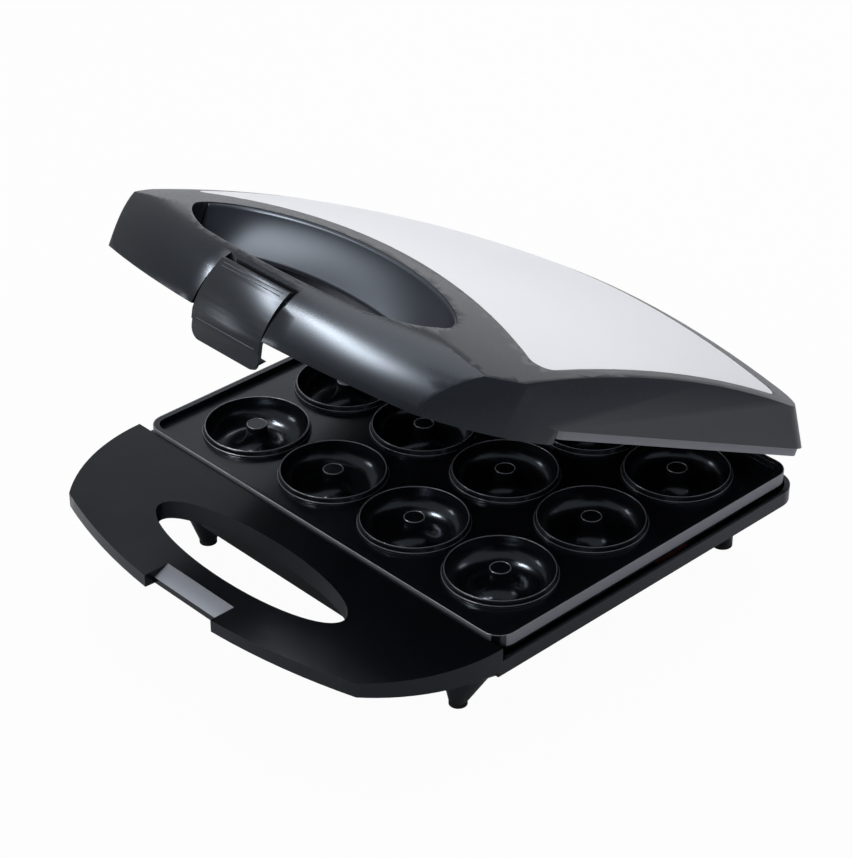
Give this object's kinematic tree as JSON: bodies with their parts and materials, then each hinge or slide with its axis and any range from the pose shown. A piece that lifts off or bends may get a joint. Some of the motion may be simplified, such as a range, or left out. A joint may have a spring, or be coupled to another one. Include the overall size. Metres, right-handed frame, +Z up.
{
  "type": "electric donut maker",
  "caption": "Countertop ring-cake maker with a hinged lid, facing non-stick cavity plates, loop handles and a latch clip.",
  "frame": {"origin": "on the table, at the middle of the part's box with the lid ajar", "axes": "+X to the right seen from the handle side, +Y from the handles to the hinge, +Z up"},
  "size_m": [0.24, 0.2868, 0.1897],
  "materials": {
    "housing_plastic": "satin slate grey",
    "cover_metal": "pale silver",
    "non_stick": "black non-stick coat on cast aluminium",
    "bare_steel": "bare steel",
    "heater_sheath": "dull heater sheath",
    "bright_sheet": "bright sheet",
    "ceramic": "unglazed ceramic",
    "control_plastic": "dark moulding",
    "lead_cover": "silicone lead cover",
    "soft_rubber": "black rubber",
    "latch_plastic": "satin dark grey"
  },
  "bodies": {
    "base": {"lower_housing": "housing_plastic", "thermal_fuse": "bright_sheet", "thermal_fuse_clip": "bare_steel", "terminal_block": "control_plastic", "lower_heater_leads": "lead_cover", "cord_gland": "soft_rubber", "hinge_pins": "bare_steel", "front_foot_pads": "soft_rubber", "rear_foot_pads": "soft_rubber", "lower_baking_plate": "non_stick", "lower_heating_element": "heater_sheath", "lower_heater_bushes": "ceramic", "lower_heater_saddles": "bare_steel", "lower_heat_reflector": "bright_sheet", "lower_plate_screws": "bare_steel", "lower_thermostat": "control_plastic"},
    "lid": {"upper_housing": "housing_plastic", "upper_baking_plate": "non_stick", "upper_heating_element": "heater_sheath", "upper_heater_bushes": "ceramic", "upper_heater_saddles": "bare_steel", "upper_heat_reflector": "bright_sheet", "upper_plate_screws": "bare_steel", "upper_thermostat": "control_plastic", "top_cover": "cover_metal", "latch_pin": "bare_steel"},
    "latch": {"latch_clip": "latch_plastic"}
  },
  "joints": [
    {"name": "lid_hinge", "type": "hinge", "parent": "base", "child": "lid", "pos_m": [0, 0.12985, 0.0425], "axis": [-1, 0, 0], "range_deg": [-26.3, 78.7]},
    {"name": "latch_pivot", "type": "hinge", "parent": "lid", "child": "latch", "pos_m": [0, -0.09485, 0.182], "axis": [-1, 0, 0], "range_deg": [0, 18]}
  ]
}
